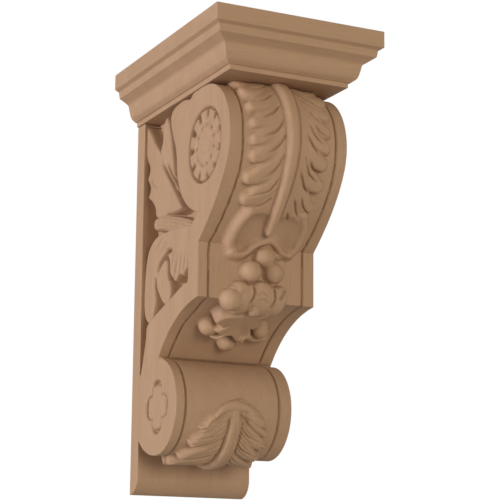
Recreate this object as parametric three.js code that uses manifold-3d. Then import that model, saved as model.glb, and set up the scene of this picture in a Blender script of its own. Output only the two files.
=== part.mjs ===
// Carved wooden corbel bracket: a moulded cap, a back board and one scroll body carved from the block.
// Millimetres, +Z up. The wall is the plane y = 0, the front faces -Y, and the origin is the middle of
// the back. Heights are measured up from the board's bottom end, and drops down from the body's top.
import * as THREE from "three";
import { mergeVertices } from "three/addons/utils/BufferGeometryUtils.js";
import Module from "manifold-3d";

const wasm = await Module();
wasm.setup();

// Whole bracket
const totalHeight = 355.6;
const jointGap = 0.3;

// Cap with its crown moulding
const capWidth = 146;
const capDepth = 203.2;
const capHeight = 43.6;
const fasciaHeight = 13.4;
const filletStep = 3.6;
const coveTopInset = 11;
const beadInset = 16;
const capOverhang = 21.1;
const capFootHeight = 4.6;

// Back board, as wide as the body in front of it
const boardWidth = 101.6;
const boardThickness = 15;
const boardRound = 10.5;

// Scroll body, seen from the side
const voluteForward = 135.5;
const voluteRadius = 46;
const voluteRise = 48;
const voluteBackRadius = 52.5;
const flatForward = 127;
const flatTopDrop = 123;
const flatBottomHeight = 145;
const slopeHollow = { forward: 164.4, drop: 94.8 };
const coveHollow = { forward: 81, height: 140.1 };
const rollForward = 51.5;
const rollHeight = 67.1;
const rollRadius = 38.7;
const rollTail = 46;

// Sunk fields on the two sides
const recessDepth = 14;
const bandWidth = 19;
const collarRise = 23;
const collarBeads = 6;
const ribbonWidth = 7;

// Rosettes
const rosetteRadius = 30.5;
const rosetteDepth = 5;
const rosettePetals = 16;
const budRadius = 8;
const quatrefoilRadius = 21;
const quatrefoilDepth = 4;
const quatrefoilPetalWidth = 17;
const petalSink = 0.6;

// Acanthus on the bulge
const stemWidth = 12;
const stemProud = 14.5;
const bladeWidth = 62;
const bladeProud = 8;
const leafletWidth = 13.5;
const leafletProud = 4.5;
const leafletPairs = 7;
const leafletReach = 34;
const rimWidth = 6.5;
const rimProud = 8;

// Grapes, flower and the leaf under it
const grapeRadius = 8;
const berryRadius = 7.4;
const petalWidth = 15;
const petalProud = 7;
const petalSpread = 13;
const petalReach = 15;
const berryReach = 22;
const leafProud = 6;

// Acanthus under the lower roll
const rollStemWidth = 11;
const rollLeafletWidth = 13;
const rollLeafProud = 8;

const bottom = -totalHeight / 2;
const capUnderside = totalHeight / 2 - capHeight;
const bodyTop = capUnderside - jointGap;
const bodyBack = boardThickness + jointGap;
const halfBody = boardWidth / 2;
const fieldFloor = halfBody - recessDepth;
const voluteCentre = bodyTop - voluteRise;
const rollCentre = bottom + rollHeight;
const flatTop = bodyTop - flatTopDrop;
const flatBottom = bottom + flatBottomHeight;

// Solids from closed geometries

// Turns a closed geometry into a solid, and turns it outwards where a mirrored map has reversed it.
function solidOf(geometry) {
  const bare = geometry.clone();
  bare.deleteAttribute("normal");
  bare.deleteAttribute("uv");
  const merged = mergeVertices(bare, 1e-4);
  const points = merged.attributes.position.array;
  const corners = Uint32Array.from(merged.index.array);
  const [a, b, c] = [new THREE.Vector3(), new THREE.Vector3(), new THREE.Vector3()];
  let volume = 0;
  for (let i = 0; i < corners.length; i += 3) {
    a.fromArray(points, corners[i] * 3);
    b.fromArray(points, corners[i + 1] * 3);
    c.fromArray(points, corners[i + 2] * 3);
    volume += a.dot(b.cross(c));
  }
  if (volume < 0) {
    corners.reverse();
  }
  return new wasm.Manifold(new wasm.Mesh({ numProp: 3, vertProperties: points, triVerts: corners }));
}

function geometryOf(solid) {
  const mesh = solid.getMesh();
  const geometry = new THREE.BufferGeometry();
  geometry.setAttribute("position", new THREE.BufferAttribute(mesh.vertProperties, 3));
  geometry.setIndex(new THREE.BufferAttribute(mesh.triVerts, 1));
  return geometry;
}

function joined(solids) {
  return solids.reduce((whole, solid) => whole.add(solid));
}

// An outline in (forward from the wall, height) drawn out across the bracket between two x values.
function sideways(outline, fromX, toX) {
  const shape = new THREE.Shape(outline.map(([forward, height]) => new THREE.Vector2(-forward, height)));
  const geometry = new THREE.ExtrudeGeometry(shape, { depth: toX - fromX, bevelEnabled: false });
  // The shape's own x and y become y and z, and its depth becomes x.
  const turn = new THREE.Matrix4().makeBasis(
    new THREE.Vector3(0, 1, 0),
    new THREE.Vector3(0, 0, 1),
    new THREE.Vector3(1, 0, 0),
  );
  geometry.applyMatrix4(turn);
  geometry.translate(fromX, 0, 0);
  return solidOf(geometry);
}

// An outline in (x, height) drawn out from the wall plane to a depth in front of it.
function frontways(outline, depth) {
  const shape = new THREE.Shape(outline.map(([x, height]) => new THREE.Vector2(x, height)));
  const geometry = new THREE.ExtrudeGeometry(shape, { depth, bevelEnabled: false });
  geometry.rotateX(Math.PI / 2);
  return solidOf(geometry);
}

function arcPoints(centre, radii, fromDegrees, toDegrees, steps) {
  return Array.from({ length: steps + 1 }, (_, i) => {
    const angle = THREE.MathUtils.degToRad(fromDegrees + ((toDegrees - fromDegrees) * i) / steps);
    return [centre[0] + radii[0] * Math.cos(angle), centre[1] + radii[1] * Math.sin(angle)];
  });
}

function hollowPoints(from, control, to, steps) {
  const curve = new THREE.QuadraticBezierCurve(
    new THREE.Vector2(...from),
    new THREE.Vector2(...control),
    new THREE.Vector2(...to),
  );
  return curve.getPoints(steps).map((point) => [point.x, point.y]);
}

// Cap: the crown profile runs round the front and both sides, mitred where the two runs cross.
function crownProfile() {
  const top = totalHeight / 2;
  const fasciaFoot = top - fasciaHeight;
  const footTop = capUnderside + capFootHeight;
  const cove = hollowPoints(
    [coveTopInset, fasciaFoot - filletStep * 2],
    [beadInset - 1, footTop + capFootHeight * 2],
    [beadInset, footTop + 2],
    5,
  );
  return [[0, top], [0, fasciaFoot], [filletStep, fasciaFoot - 2], [filletStep + 1, fasciaFoot - 5]]
    .concat(cove)
    .concat([[capOverhang, footTop], [capOverhang, capUnderside]]);
}

function makeCap() {
  const profile = crownProfile();
  const front = profile.map(([inset, height]) => [capDepth - inset, height]);
  const right = profile.map(([inset, height]) => [capWidth / 2 - inset, height]);
  const left = profile.map(([inset, height]) => [inset - capWidth / 2, height]).reverse();
  const across = sideways([[0, totalHeight / 2], ...front, [0, capUnderside]], -capWidth / 2, capWidth / 2);
  return across.intersect(frontways([...right, ...left], capDepth));
}

// Board: square sided, with its lower end rounded over from the front.
function makeBoard() {
  const centre = [boardThickness - boardRound, bottom + boardRound];
  const round = arcPoints(centre, [boardRound, boardRound], 0, -90, 6);
  const outline = [[0, bodyTop], [boardThickness, bodyTop], ...round, [0, bottom]];
  return sideways(outline, -halfBody, halfBody);
}

// Scroll body outline, as [forward, height] points from the cap down the front to the roll's underside.
const bulgeRun = [
  ...arcPoints([voluteForward, voluteCentre], [voluteRadius, voluteRise], 90, 0, 10),
  ...arcPoints([voluteForward, voluteCentre], [voluteRadius, voluteRadius], 0, -25, 4).slice(1),
];
const slopeRun = hollowPoints(
  bulgeRun.at(-1),
  [slopeHollow.forward, bodyTop - slopeHollow.drop],
  [flatForward, flatTop],
  7,
);
const rollTop = [rollForward + 1.3, rollCentre + rollRadius + 0.8];
const coveRun = hollowPoints(
  [flatForward, flatBottom],
  [coveHollow.forward, bottom + coveHollow.height],
  rollTop,
  8,
);
const rollRun = arcPoints([rollForward, rollCentre], [rollRadius, rollRadius], 86, -90, 16);
const tailStop = THREE.MathUtils.radToDeg(Math.acos((rollForward - bodyBack) / rollTail));
const tailRun = arcPoints([rollForward, rollCentre], [rollTail, rollRadius], -90, tailStop - 180, 4);
const frontRun = [...bulgeRun, ...slopeRun.slice(1), ...coveRun, ...rollRun, ...tailRun.slice(1)];
const bodyOutline = [[bodyBack, bodyTop], ...frontRun];

// Lengths down the front, so that carving can be placed along it
const runLengths = [0];
for (let i = 1; i < frontRun.length; i += 1) {
  const [forward, height] = frontRun[i];
  const [lastForward, lastHeight] = frontRun[i - 1];
  runLengths.push(runLengths[i - 1] + Math.hypot(forward - lastForward, height - lastHeight));
}
const lengthAt = (index) => runLengths[index];
const bulgeEnd = lengthAt(bulgeRun.length + slopeRun.length - 2);
const coveStart = lengthAt(bulgeRun.length + slopeRun.length - 1);
const coveEnd = lengthAt(bulgeRun.length + slopeRun.length + coveRun.length - 2);
const rollLength = lengthAt(frontRun.length - 1) - coveEnd;

// The point at a length down the front.
function frontPoint(length) {
  const limited = THREE.MathUtils.clamp(length, 0, runLengths.at(-1) - 1e-6);
  const next = runLengths.findIndex((value) => value > limited);
  const share = (limited - runLengths[next - 1]) / (runLengths[next] - runLengths[next - 1]);
  const [a, b] = [frontRun[next - 1], frontRun[next]];
  return new THREE.Vector2(a[0] + (b[0] - a[0]) * share, a[1] + (b[1] - a[1]) * share);
}

// Carving on the front is laid out as (across, length down the front, proud of the surface).
const normalReach = 9;
const sink = 2.5;
function onFront(across, length, proud) {
  const run = frontPoint(length + normalReach).sub(frontPoint(length - normalReach)).normalize();
  const point = frontPoint(length).add(new THREE.Vector2(-run.y, run.x).multiplyScalar(proud));
  return [across, -point.x, point.y];
}

// Carving on a side is laid out as (forward, height, proud of the sunk field's floor).
function onSide(side) {
  return (forward, height, proud) => [side * (fieldFloor + proud), -forward, height];
}

// A lobe is half an egg drawn out along a curved centre line, on straight sides that reach into the
// wood under it. A blunt one is a rod with rounded ends.
function lobe(onto, { line, width, proud, base = 0, slim = 0.55, blunt = 1, sides = 6, rings = 6 }) {
  const centreLine = new THREE.SplineCurve(line.map(([u, v]) => new THREE.Vector2(u, v)));
  const [baseAtRoot, baseAtTip] = Array.isArray(base) ? base : [base, base];
  const egg = new THREE.SphereGeometry(1, sides, rings);
  const position = egg.attributes.position;
  for (let i = 0; i < position.count; i += 1) {
    const [x, y, z] = [position.getX(i), position.getY(i), position.getZ(i)];
    const along = Math.acos(THREE.MathUtils.clamp(-y, -1, 1)) / Math.PI;
    const fullness = Math.sin(along * Math.PI);
    const swell = Math.min(1, blunt * fullness) * (slim + (1 - slim) * along);
    const [spread, rise] = fullness > 1e-3 ? [x / fullness, z / fullness] : [0, 0];
    const under = rise < -1e-3;
    const across = (under ? Math.sign(Math.round(spread * 100)) : spread) * swell * width * 0.5;
    const centre = centreLine.getPoint(along);
    const run = centreLine.getTangent(along);
    const lift = under ? -sink : baseAtRoot + (baseAtTip - baseAtRoot) * along + rise * swell * proud;
    position.setXYZ(i, ...onto(centre.x - run.y * across, centre.y + run.x * across, lift));
  }
  return solidOf(egg);
}

function ball(centre, radius) {
  const sphere = new THREE.SphereGeometry(radius, 10, 6);
  sphere.translate(...centre);
  return solidOf(sphere);
}

// The same carving on both halves: make(side) lays it out for side -1 and for side 1.
function bothSides(make) {
  return [-1, 1].flatMap((side) => make(side));
}

// Acanthus on the bulge: a domed blade, a round stem, curling leaflets and two scooped lobes below.
function makeAcanthus() {
  const stemTip = bulgeEnd * 0.9;
  const blade = lobe(onFront, {
    line: [[0, -20], [0, bulgeEnd * 0.36], [0, bulgeEnd * 0.76]],
    width: bladeWidth,
    proud: bladeProud,
    slim: 1,
    blunt: 1.8,
    sides: 10,
    rings: 10,
  });
  const stem = lobe(onFront, {
    line: [[0, -12], [0, stemTip * 0.5], [0, stemTip]],
    width: stemWidth,
    proud: stemProud - bladeProud,
    base: [bladeProud + 2, bladeProud - 2],
    slim: 1.2,
    blunt: 5,
    sides: 8,
    rings: 16,
  });
  const leaflets = bothSides((side) => Array.from({ length: leafletPairs }, (_, i) => {
    const end = bulgeEnd * (0.195 + (0.555 * i) / (leafletPairs - 1));
    return lobe(onFront, {
      line: [[side * 4, end - 22], [side * leafletReach * 0.6, end - 8], [side * leafletReach, end]],
      width: leafletWidth,
      proud: leafletProud,
      base: [bladeProud * 0.9, bladeProud * 0.25],
    });
  }));
  const rims = bothSides((side) => [
    lobe(onFront, {
      line: [[20, 0.68], [31, 0.78], [32, 0.99], [24, 1.07]].map(([x, run]) => [side * x, bulgeEnd * run]),
      width: rimWidth,
      proud: rimProud,
      slim: 1,
      blunt: 3,
      rings: 9,
    }),
    lobe(onFront, {
      line: [[25, 1.06], [16, 1.02], [8, 0.95], [0, 0.93]].map(([x, run]) => [side * x, bulgeEnd * run]),
      width: rimWidth * 0.8,
      proud: rimProud,
      slim: 1,
      blunt: 3,
      rings: 8,
    }),
  ]);
  return [blade, stem, ...leaflets, ...rims];
}

// Grapes on the flat, a rolled flower on its lower edge, berries beside it and a ragged leaf below.
function makeFruit() {
  const flat = coveStart - bulgeEnd;
  const cove = coveEnd - coveStart;
  const grapes = [[0, 0.2], [-11, 0.52], [11, 0.52]].map(([across, share]) => (
    ball(onFront(across, bulgeEnd + flat * share, grapeRadius * 0.45), grapeRadius)
  ));
  const bud = lobe(onFront, {
    line: [[0, coveStart - 9], [0, coveStart - 1], [0, coveStart + 7]],
    width: petalWidth * 0.85,
    proud: petalProud + 4,
    slim: 1,
  });
  const petals = bothSides((side) => [
    lobe(onFront, {
      line: [[3, -2], [petalSpread * 9 / 13, -petalReach * 2 / 3], [petalSpread, -petalReach]]
        .map(([across, down]) => [side * across, coveStart + down]),
      width: petalWidth,
      proud: petalProud,
    }),
    lobe(onFront, {
      line: [[2, 4], [petalSpread * 8 / 13, petalReach * 2 / 3], [petalSpread, petalReach]]
        .map(([across, down]) => [side * across, coveStart + down]),
      width: petalWidth,
      proud: petalProud,
    }),
  ]);
  const berries = bothSides((side) => [
    ball(onFront(side * berryReach, coveStart + 0.5, berryRadius * 0.6), berryRadius),
    ball(onFront(side * (berryReach + 4), coveStart + cove * 0.42, berryRadius * 0.5), berryRadius),
  ]);
  const lowBerry = ball(onFront(0, coveStart + cove * 0.68, berryRadius * 0.4), berryRadius);
  const leaf = [-20, -10, 0, 10, 20].map((across) => lobe(onFront, {
    line: [
      [across * 0.4, coveStart + 6],
      [across * 0.8, coveStart + cove * 0.3],
      [across, coveStart + cove * (0.56 - Math.abs(across) * 0.003)],
    ],
    width: petalWidth,
    proud: leafProud,
    base: [3, 0],
  }));
  return [...grapes, bud, ...petals, ...berries, lowBerry, ...leaf];
}

// Acanthus under the roll: its stem rises from the board and ends beneath a turned-over lip.
function makeRollLeaf() {
  const lip = coveEnd + rollLength * 0.36;
  const foot = coveEnd + rollLength * 0.9;
  const stem = lobe(onFront, {
    line: [[0, lip], [0, (lip + foot) / 2], [0, foot]],
    width: rollStemWidth,
    proud: rollLeafProud + 2,
    slim: 1,
    blunt: 3,
    sides: 8,
    rings: 9,
  });
  const turnedLip = lobe(onFront, {
    line: [[-18, lip + 11], [-10, lip + 2], [0, lip], [10, lip + 2], [18, lip + 11]],
    width: rollLeafletWidth * 0.7,
    proud: rollLeafProud,
    slim: 1,
    blunt: 2,
    rings: 9,
  });
  const leaflets = bothSides((side) => [0, 1, 2, 3].map((i) => {
    const end = lip + 18 + 12.5 * i;
    return lobe(onFront, {
      line: [[side * 3, end - 17], [side * 18, end - 9], [side * (29 + 3 * i), end]],
      width: rollLeafletWidth,
      proud: rollLeafProud - 1,
      slim: 0.8,
    });
  }));
  return [stem, turnedLip, ...leaflets];
}

// The field's edge keeps to the board behind, the volute's back and the band that follows the front.
function fieldOutline() {
  const aroundVolute = arcPoints(
    [voluteForward, voluteCentre],
    [voluteBackRadius, voluteBackRadius],
    114,
    277,
    12,
  );
  const inner = flatForward - bandWidth;
  return [
    [0, bodyTop + sink],
    [aroundVolute[0][0], bodyTop + sink],
    ...aroundVolute,
    [inner, flatTop + 8],
    [inner, flatBottom + 15],
    [inner * 0.62, flatBottom + 3],
    [inner * 0.28, flatBottom - 9],
    [bodyBack + 7, rollCentre + rollRadius],
    [0, rollCentre + rollRadius * 0.6],
  ];
}

// Foliage in the sunk field: a husk of upright leaves, a beaded collar and a hanging acanthus. Each
// line is given as (forward, height) from the foot of the volute's back and the collar.
function makeSideFoliage(side) {
  const onto = onSide(side);
  const collar = flatTop + collarRise;
  const foot = voluteForward - voluteBackRadius;
  const laid = (line) => line.map(([forward, height]) => [foot + forward, collar + height]);
  const tall = bodyTop - collar;
  const husk = [
    { line: [[0, 18], [-1, 60], [12, tall - 4]], width: 27, proud: 9 },
    { line: [[4, 0], [-12, 45], [-18, tall - 6]], width: 25, proud: 12 },
    { line: [[-14, 0], [-44, 45], [-61, tall]], width: 30, proud: 11 },
    { line: [[-16, 0], [-36, 12], [-55, 30]], width: 24, proud: 10 },
  ].map((leaf) => lobe(onto, { ...leaf, line: laid(leaf.line), slim: 0.8, blunt: 1.4, rings: 7 }));
  const ribbon = lobe(onto, {
    line: laid([[22, 6], [-2, 29], [-26, 57]]),
    width: ribbonWidth,
    proud: recessDepth - 0.5,
    slim: 1,
    blunt: 3,
  });
  const beads = Array.from({ length: collarBeads }, (_, i) => lobe(onto, {
    line: laid([-7, 0, 7].map((height) => [31 - i * 11.5, height])),
    width: 13,
    proud: recessDepth - 1.5,
    slim: 1,
    blunt: 2,
    rings: 4,
  }));
  const pad = lobe(onto, {
    line: laid([[-4, 4], [-8, -25], [-14, -52]]),
    width: 56,
    proud: recessDepth * 0.55,
    slim: 1,
    blunt: 2,
  });
  const hanging = [
    { line: [[17, -4], [19, -24], [16, -46]], width: 19, proud: 12 },
    { line: [[7, -4], [6, -26], [4, -49]], width: 19, proud: 13 },
    { line: [[-3, -4], [-7, -28], [-7, -51]], width: 19, proud: 12 },
    { line: [[-13, -4], [-25, -34], [-19, -66]], width: 25, proud: 13 },
    { line: [[-21, -4], [-50, -24], [-57, -68]], width: 27, proud: 11 },
    { line: [[-19, -2], [-41, -12], [-59, -30]], width: 26, proud: 12 },
  ].map((leaf) => lobe(onto, { ...leaf, line: laid(leaf.line), slim: 0.9, blunt: 1.5 }));
  return [...husk, ribbon, ...beads, pad, ...hanging];
}

// A round cutter for sinking a rosette into one side.
function disc(side, [forward, height], radius, depth, turns) {
  const cylinder = new THREE.CylinderGeometry(radius, radius, depth * 2, turns);
  cylinder.rotateZ(Math.PI / 2);
  cylinder.translate(side * halfBody, -forward, height);
  return solidOf(cylinder);
}

// Petals raised in a sunk round from its middle outwards.
function petalRing(side, [forward, height], { count, from, to, width, depth, sides, rings }) {
  return Array.from({ length: count }, (_, i) => {
    const angle = (i * 2 * Math.PI) / count;
    const line = [from, (from + to) / 2, to].map((radius) => (
      [forward + radius * Math.cos(angle), height + radius * Math.sin(angle)]
    ));
    const base = recessDepth - depth;
    return lobe(onSide(side), { line, width, proud: depth - petalSink, base, slim: 0.6, sides, rings });
  });
}

// A slab across one side of the body, from inside its sunk field to a plane outside.
function sideSlab(outline, side, inner, outer) {
  const [fromX, toX] = [side * inner, side * outer].sort((a, b) => a - b);
  return sideways(outline, fromX, toX);
}

function carveSide(body, side) {
  const volute = [voluteForward, voluteCentre];
  const roll = [rollForward, rollCentre];
  const petals = petalRing(side, volute, {
    count: rosettePetals,
    from: budRadius - 1,
    to: rosetteRadius - petalSink,
    width: (rosetteRadius * 2 * Math.PI) / rosettePetals,
    depth: rosetteDepth,
    sides: 6,
    rings: 4,
  });
  const foils = petalRing(side, roll, {
    count: 4,
    from: 1,
    to: quatrefoilRadius,
    width: quatrefoilPetalWidth,
    depth: quatrefoilDepth,
    sides: 8,
    rings: 5,
  });
  const bud = ball([side * (halfBody - rosetteDepth), -voluteForward, voluteCentre], budRadius);
  const within = sideSlab(bodyOutline, side, fieldFloor - sink, halfBody);
  return body
    .subtract(sideSlab(fieldOutline(), side, fieldFloor, halfBody + sink))
    .subtract(disc(side, volute, rosetteRadius, rosetteDepth, 32))
    .subtract(disc(side, roll, quatrefoilRadius, quatrefoilDepth, 24))
    .add(joined([...makeSideFoliage(side), ...petals, ...foils, bud]).intersect(within));
}

function makeBody() {
  let body = sideways(bodyOutline, -halfBody, halfBody);
  body = carveSide(body, -1);
  body = carveSide(body, 1);
  const carving = joined([...makeAcanthus(), ...makeFruit(), ...makeRollLeaf()]);
  const faceOn = [[-halfBody, bottom], [halfBody, bottom], [halfBody, bodyTop], [-halfBody, bodyTop]];
  const underCap = frontways(faceOn, capDepth);
  const boardRoom = frontways(faceOn, bodyBack);
  return body.add(carving.intersect(underCap).subtract(boardRoom));
}

function finished(name, solid, colour, roughness) {
  const material = new THREE.MeshStandardMaterial({ color: colour, roughness, metalness: 0 });
  const mesh = new THREE.Mesh(geometryOf(solid), material);
  mesh.name = name;
  return mesh;
}

const corbel = new THREE.Group();
corbel.add(finished("cap", makeCap(), 0xb08f72, 0.62));
corbel.add(finished("back_board", makeBoard(), 0xae8c6f, 0.62));
corbel.add(finished("scroll_body", makeBody(), 0xb08f72, 0.62));

export default corbel;
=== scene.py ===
import math
from types import SimpleNamespace

import bmesh
import bpy
import numpy as np
from mathutils import Matrix, Vector


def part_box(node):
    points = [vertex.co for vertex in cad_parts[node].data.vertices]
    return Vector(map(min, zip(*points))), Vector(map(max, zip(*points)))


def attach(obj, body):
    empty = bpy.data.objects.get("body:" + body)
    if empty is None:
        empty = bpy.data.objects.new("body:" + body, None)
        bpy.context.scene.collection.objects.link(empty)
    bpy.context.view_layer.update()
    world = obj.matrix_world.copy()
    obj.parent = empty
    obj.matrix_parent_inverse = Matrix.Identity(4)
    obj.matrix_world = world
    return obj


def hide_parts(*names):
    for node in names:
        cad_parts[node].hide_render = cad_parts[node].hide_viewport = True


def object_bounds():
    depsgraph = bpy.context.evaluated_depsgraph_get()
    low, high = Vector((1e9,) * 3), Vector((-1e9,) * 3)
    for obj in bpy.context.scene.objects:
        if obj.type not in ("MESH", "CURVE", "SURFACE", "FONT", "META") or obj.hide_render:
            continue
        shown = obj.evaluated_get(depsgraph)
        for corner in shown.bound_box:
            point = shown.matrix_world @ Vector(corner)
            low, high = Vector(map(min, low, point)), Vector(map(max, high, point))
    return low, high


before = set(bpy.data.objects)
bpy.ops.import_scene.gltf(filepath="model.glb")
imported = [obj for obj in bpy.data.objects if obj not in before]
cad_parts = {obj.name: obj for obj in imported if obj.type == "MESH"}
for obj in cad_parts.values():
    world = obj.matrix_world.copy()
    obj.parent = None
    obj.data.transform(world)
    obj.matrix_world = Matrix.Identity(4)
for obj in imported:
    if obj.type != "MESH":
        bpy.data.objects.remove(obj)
cad_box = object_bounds()

# Cap: one thick block of wood with a crown moulding cut round its front and both ends, mitred at
# the two front corners. It is glued on top of the board and the scroll body, and its back is flat.
MM = 0.001
cap_low, cap_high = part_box("cap")
cap_drop = (cap_high.z - cap_low.z) / MM
crown_flats = [(3, 0), (0, 0), (0, 13.2), (3.6, 15.0), (4.5, 20.6)]
crown_hollow = [(4.5, 20.6), (9.2, 23.2), (12.6, 25.8), (13.8, 30.6), (15.7, 36.4), (19.4, 39.6)]
crown_foot = [(21.1, 40.0), (21.1, cap_drop), (24, cap_drop)]
arris = 0.5


def curve_through(points, steps=10):
    """A smooth line through a few points, as close samples along it."""
    knots = np.asarray(points, float)
    padded = np.vstack([2 * knots[0] - knots[1], knots, 2 * knots[-1] - knots[-2]])
    share = np.linspace(0, 1, steps, endpoint=False)[:, None]
    runs = []
    for a, b, c, d in zip(padded, padded[1:], padded[2:], padded[3:]):
        runs.append(0.5 * (2 * b + (c - a) * share + (2 * a - 5 * b + 4 * c - d) * share**2
                           + (3 * b - a - 3 * c + d) * share**3))
    return np.vstack([*runs, knots[-1:]])


def eased(points, radius):
    """The same line with its corners rounded over."""
    points = np.asarray(points, float)
    line = [points[0]]
    for before, corner, after in zip(points, points[1:], points[2:]):
        back, on = before - corner, after - corner
        enter = corner + back * min(0.4, radius / np.linalg.norm(back))
        leave = corner + on * min(0.4, radius / np.linalg.norm(on))
        line += [enter, (enter + 2 * corner + leave) / 4, leave]
    return np.vstack([*line, points[-1:]])


def wood(name, grain, pale, dark):
    """Close-grained wood, sanded and unfinished. The grain runs along the given axis."""
    material = bpy.data.materials.new(name)
    material.use_nodes = True
    nodes, links = material.node_tree.nodes, material.node_tree.links
    shader = nodes["Principled BSDF"]
    place = nodes.new("ShaderNodeTexCoord")

    def stretched(across, along):
        """The piece's own coordinates, drawn out along the grain."""
        mapping = nodes.new("ShaderNodeMapping")
        mapping.inputs["Scale"].default_value = [along if axis == grain else across for axis in "XYZ"]
        links.new(place.outputs["Object"], mapping.inputs["Vector"])
        return mapping.outputs["Vector"]

    def noise(vector, detail, roughness):
        texture = nodes.new("ShaderNodeTexNoise")
        texture.inputs["Scale"].default_value = 1.0
        texture.inputs["Detail"].default_value = detail
        texture.inputs["Roughness"].default_value = roughness
        links.new(vector, texture.inputs["Vector"])
        return texture.outputs["Fac"]

    def ranged(value, low, high, to_low, to_high):
        shift = nodes.new("ShaderNodeMapRange")
        shift.inputs["From Min"].default_value = low
        shift.inputs["From Max"].default_value = high
        shift.inputs["To Min"].default_value = to_low
        shift.inputs["To Max"].default_value = to_high
        links.new(value, shift.inputs["Value"])
        return shift.outputs["Result"]

    def blended(mode, factor, first, second):
        mix = nodes.new("ShaderNodeMix")
        mix.data_type = "RGBA"
        mix.blend_type = mode
        for socket, value in (("Factor", factor), ("A", first), ("B", second)):
            target = next(s for s in mix.inputs if s.name == socket and s.enabled)
            if isinstance(value, (float, tuple)):
                target.default_value = value
            else:
                links.new(value, target)
        return next(s for s in mix.outputs if s.enabled)

    clouds = noise(stretched(7, 2.5), 3, 0.5)
    figure = noise(stretched(60, 3.5), 4, 0.6)
    fibres = noise(stretched(900, 45), 2, 0.5)
    colour = blended("MIX", ranged(figure, 0.3, 0.7, 0.25, 0.75), (*dark, 1.0), (*pale, 1.0))
    colour = blended("MULTIPLY", ranged(clouds, 0.35, 0.65, 0.5, 0.0), colour, (0.96, 0.94, 0.92, 1.0))
    colour = blended("MULTIPLY", ranged(fibres, 0.55, 0.8, 0.0, 0.5), colour, (0.78, 0.72, 0.66, 1.0))
    links.new(colour, shader.inputs["Base Color"])
    links.new(ranged(fibres, 0.3, 0.7, 0.58, 0.7), shader.inputs["Roughness"])
    shader.inputs["Specular IOR Level"].default_value = 0.32
    bump = nodes.new("ShaderNodeBump")
    bump.inputs["Strength"].default_value = 0.25
    bump.inputs["Distance"].default_value = 0.00025
    links.new(fibres, bump.inputs["Height"])
    links.new(bump.outputs["Normal"], shader.inputs["Normal"])
    return material


def put_in(bm, name, material, node):
    """The finished piece, riding with the bracket in place of its plain solid."""
    mesh = bpy.data.meshes.new(name)
    bm.to_mesh(mesh)
    bm.free()
    piece = bpy.data.objects.new(name, mesh)
    bpy.context.scene.collection.objects.link(piece)
    piece.data.materials.append(material)
    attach(piece, "root")
    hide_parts(node)
    return piece


wood_pale, wood_dark = (0.50, 0.325, 0.21), (0.42, 0.262, 0.165)
cap_wood = wood("cap_wood", "X", wood_pale, wood_dark)

crown_hollow_fine = curve_through(crown_hollow, 5)
crown = np.vstack([eased([*crown_flats, crown_hollow_fine[1]], arris)[:-1], crown_hollow_fine[1:-1],
                   eased([crown_hollow_fine[-1], *crown_foot], arris)])
bm = bmesh.new()
bmesh.ops.create_grid(bm, x_segments=1, y_segments=1, size=1)
cap_middle = (cap_low + cap_high) / 2
first_inset, first_drop = crown[0] * MM
for corner in bm.verts:
    corner.co = Vector((math.copysign(cap_high.x - first_inset, corner.co.x),
                        cap_high.y if corner.co.y > 0 else cap_low.y + first_inset, cap_high.z - first_drop))
front_corners = [corner for corner in bm.verts if corner.co.y < cap_middle.y]
bmesh.ops.bevel(bm, geom=front_corners, offset=arris * MM, segments=3, profile=0.5,
                affect="VERTICES", material=-1)
rim = list(bm.edges)
for (last_inset, last_drop), (inset, drop) in zip(crown, crown[1:]):
    grown = bmesh.ops.extrude_edge_only(bm, edges=rim)["geom"]
    rim = [part for part in grown if isinstance(part, bmesh.types.BMEdge)]
    inward, down = (inset - last_inset) * MM, (drop - last_drop) * MM
    for corner in grown:
        if isinstance(corner, bmesh.types.BMVert):
            forward = inward if corner.co.y < cap_middle.y else 0
            corner.co += Vector((-inward * math.copysign(1, corner.co.x), forward, -down))
bmesh.ops.holes_fill(bm, edges=rim, sides=0)
bmesh.ops.recalc_face_normals(bm, faces=bm.faces)
put_in(bm, "crown_cap", cap_wood, "cap")

# Back board: a plain board, grain upright, that lies flat on the wall with the scroll body glued to
# its front. Its lower end is rounded over at the front.
board_low, board_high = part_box("back_board")
board_round = 15.0
sharp_angle = math.radians(40)
board_wood = wood("board_wood", "Z", wood_pale, wood_dark)

bm = bmesh.new()
bmesh.ops.create_cube(bm, size=1)
bmesh.ops.scale(bm, vec=board_high - board_low, verts=bm.verts)
bmesh.ops.translate(bm, vec=(board_high + board_low) / 2, verts=bm.verts)
toe = [edge for edge in bm.edges
       if all(end.co.z < 0 and end.co.y < board_low.y / 2 for end in edge.verts)]
bmesh.ops.bevel(bm, geom=toe, offset=board_round * MM, segments=14, profile=0.5,
                affect="EDGES", material=-1)
sharp = [edge for edge in bm.edges if edge.calc_face_angle() > sharp_angle]
bmesh.ops.bevel(bm, geom=sharp, offset=arris * MM, segments=3, profile=0.5,
                affect="EDGES", material=-1, clamp_overlap=True)
put_in(bm, "wall_board", board_wood, "back_board")

# Scroll body, front: one thick block of the same wood, sawn to its S outline and carved between two
# scribed lines, darkened with painted shade, with an acanthus, grapes, a flower and a leaf under the roll.
# Carving is laid out in millimetres on a panel, as (across, length down the front), and stands proud by a
# height.
_, body_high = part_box("scroll_body")
block_bottom = board_low.z
block_top = (body_high.z - block_bottom) / MM
half_body = body_high.x / MM
body_back = -body_high.y / MM
volute_centre, volute_radius, volute_rise = np.array([135.5, 263.7]), 46.0, 48.0
flat_forward, flat_top, flat_bottom = 127.0, 188.7, 145.0
slope_bend, cove_bend, cove_foot = (164.4, 216.9), (81.0, 140.1), (52.8, 106.6)
roll_centre, roll_radius, roll_tail = np.array([51.5, 67.1]), 38.7, 46.0
normal_reach = 9.0


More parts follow.
